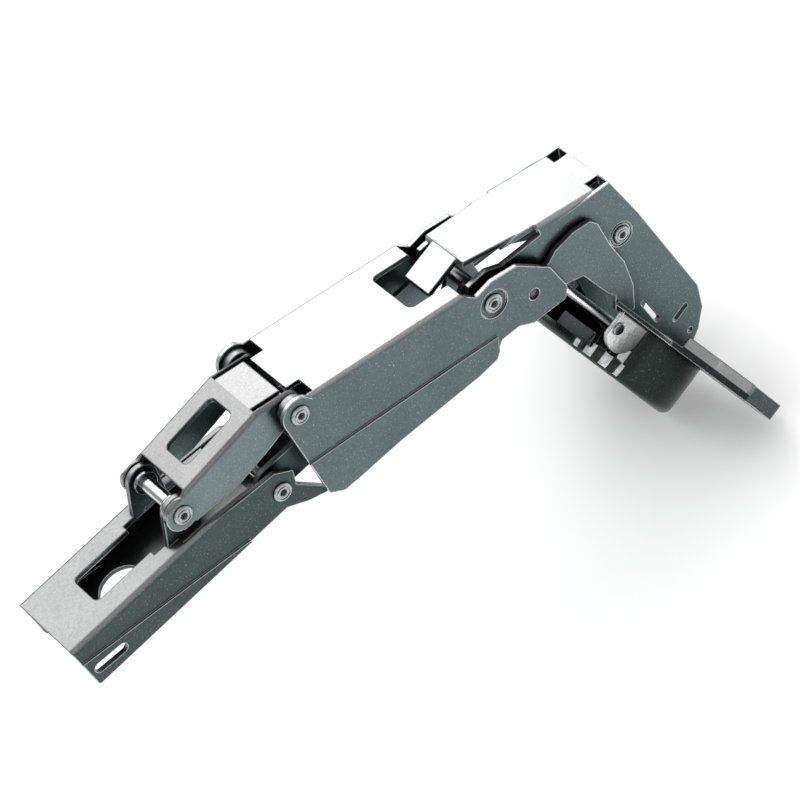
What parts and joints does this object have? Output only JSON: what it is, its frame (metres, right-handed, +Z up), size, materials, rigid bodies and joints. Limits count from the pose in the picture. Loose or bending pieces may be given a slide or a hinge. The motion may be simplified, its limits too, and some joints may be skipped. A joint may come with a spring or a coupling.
{
  "type": "concealed cup hinge",
  "caption": "Wide-angle concealed cabinet hinge shown fully open: channel arm, folding links, cranked cup lever and a round door cup with a winged screw flange.",
  "frame": {"origin": "middle of the arm's seat, the underside of the slide that lies on the mounting plate", "axes": "+X along the arm towards the cup, +Z up from the seat through the arm's top, Y across the arm along every pivot"},
  "size_m": [0.137, 0.0652, 0.077],
  "materials": {
    "pressed_steel": "bright nickel plate over pressed sheet, faintly speckled",
    "slide_steel": "nickel plate",
    "rivet_steel": "polished rivet heads",
    "spacer_steel": "turned, plated",
    "cup_plating": "bright plated pressing",
    "spring_steel": "spring steel"
  },
  "bodies": {
    "arm": {"arm_channel": "pressed_steel", "arm_slide": "slide_steel", "base_pin": "rivet_steel", "base_collars": "spacer_steel"},
    "rear": {"rear_link": "pressed_steel", "rear_pin": "rivet_steel", "rear_collar": "spacer_steel"},
    "cover": {"cover_link": "pressed_steel", "cover_pin": "rivet_steel", "cover_washers": "spacer_steel", "middle_pin": "rivet_steel", "middle_washers": "spacer_steel", "lever_studs": "rivet_steel"},
    "lever": {"inner_lever": "pressed_steel"},
    "front": {"front_link": "pressed_steel", "stop_pin": "rivet_steel", "stop_roller": "spacer_steel", "foot_pin": "rivet_steel"},
    "hook": {"cup_lever": "pressed_steel"},
    "cup": {"cup_shell": "cup_plating", "cup_lugs": "cup_plating", "cup_flange": "cup_plating", "cup_pin": "rivet_steel", "cup_leaf": "spring_steel"}
  },
  "joints": [
    {"name": "rear_pivot", "type": "hinge", "parent": "arm", "child": "rear", "pos_m": [0.008, 0, 0.0124], "axis": [0, -1, 0], "range_deg": [0, 130]},
    {"name": "cover_pivot", "type": "hinge", "parent": "rear", "child": "cover", "pos_m": [0.0352, 0, 0.014], "axis": [0, -1, 0], "range_deg": [-90, 0]},
    {"name": "middle_pivot", "type": "hinge", "parent": "cover", "child": "front", "pos_m": [0.0767, 0, 0.0004], "axis": [0, -1, 0], "range_deg": [0, 30]},
    {"name": "cup_pivot", "type": "hinge", "parent": "front", "child": "cup", "pos_m": [0.09996, 0, -0.04992], "axis": [0, -1, 0], "range_deg": [0, 95]},
    {"name": "lever_pivot", "type": "hinge", "parent": "arm", "child": "lever", "pos_m": [0.0249, 0, 0.0006], "axis": [0, -1, 0], "range_deg": [0, 88]},
    {"name": "hook_pivot", "type": "hinge", "parent": "cover", "child": "hook", "pos_m": [0.0842, 0, -0.0051], "axis": [0, -1, 0], "range_deg": [0, 30]}
  ],
  "couplings": [
    {"joint": "cover_pivot", "follows": "rear_pivot", "ratio": -0.6923},
    {"joint": "middle_pivot", "follows": "rear_pivot", "ratio": 0.2307},
    {"joint": "cup_pivot", "follows": "rear_pivot", "ratio": 0.7307},
    {"joint": "lever_pivot", "follows": "rear_pivot", "ratio": 0.6769},
    {"joint": "hook_pivot", "follows": "rear_pivot", "ratio": 0.2307}
  ]
}
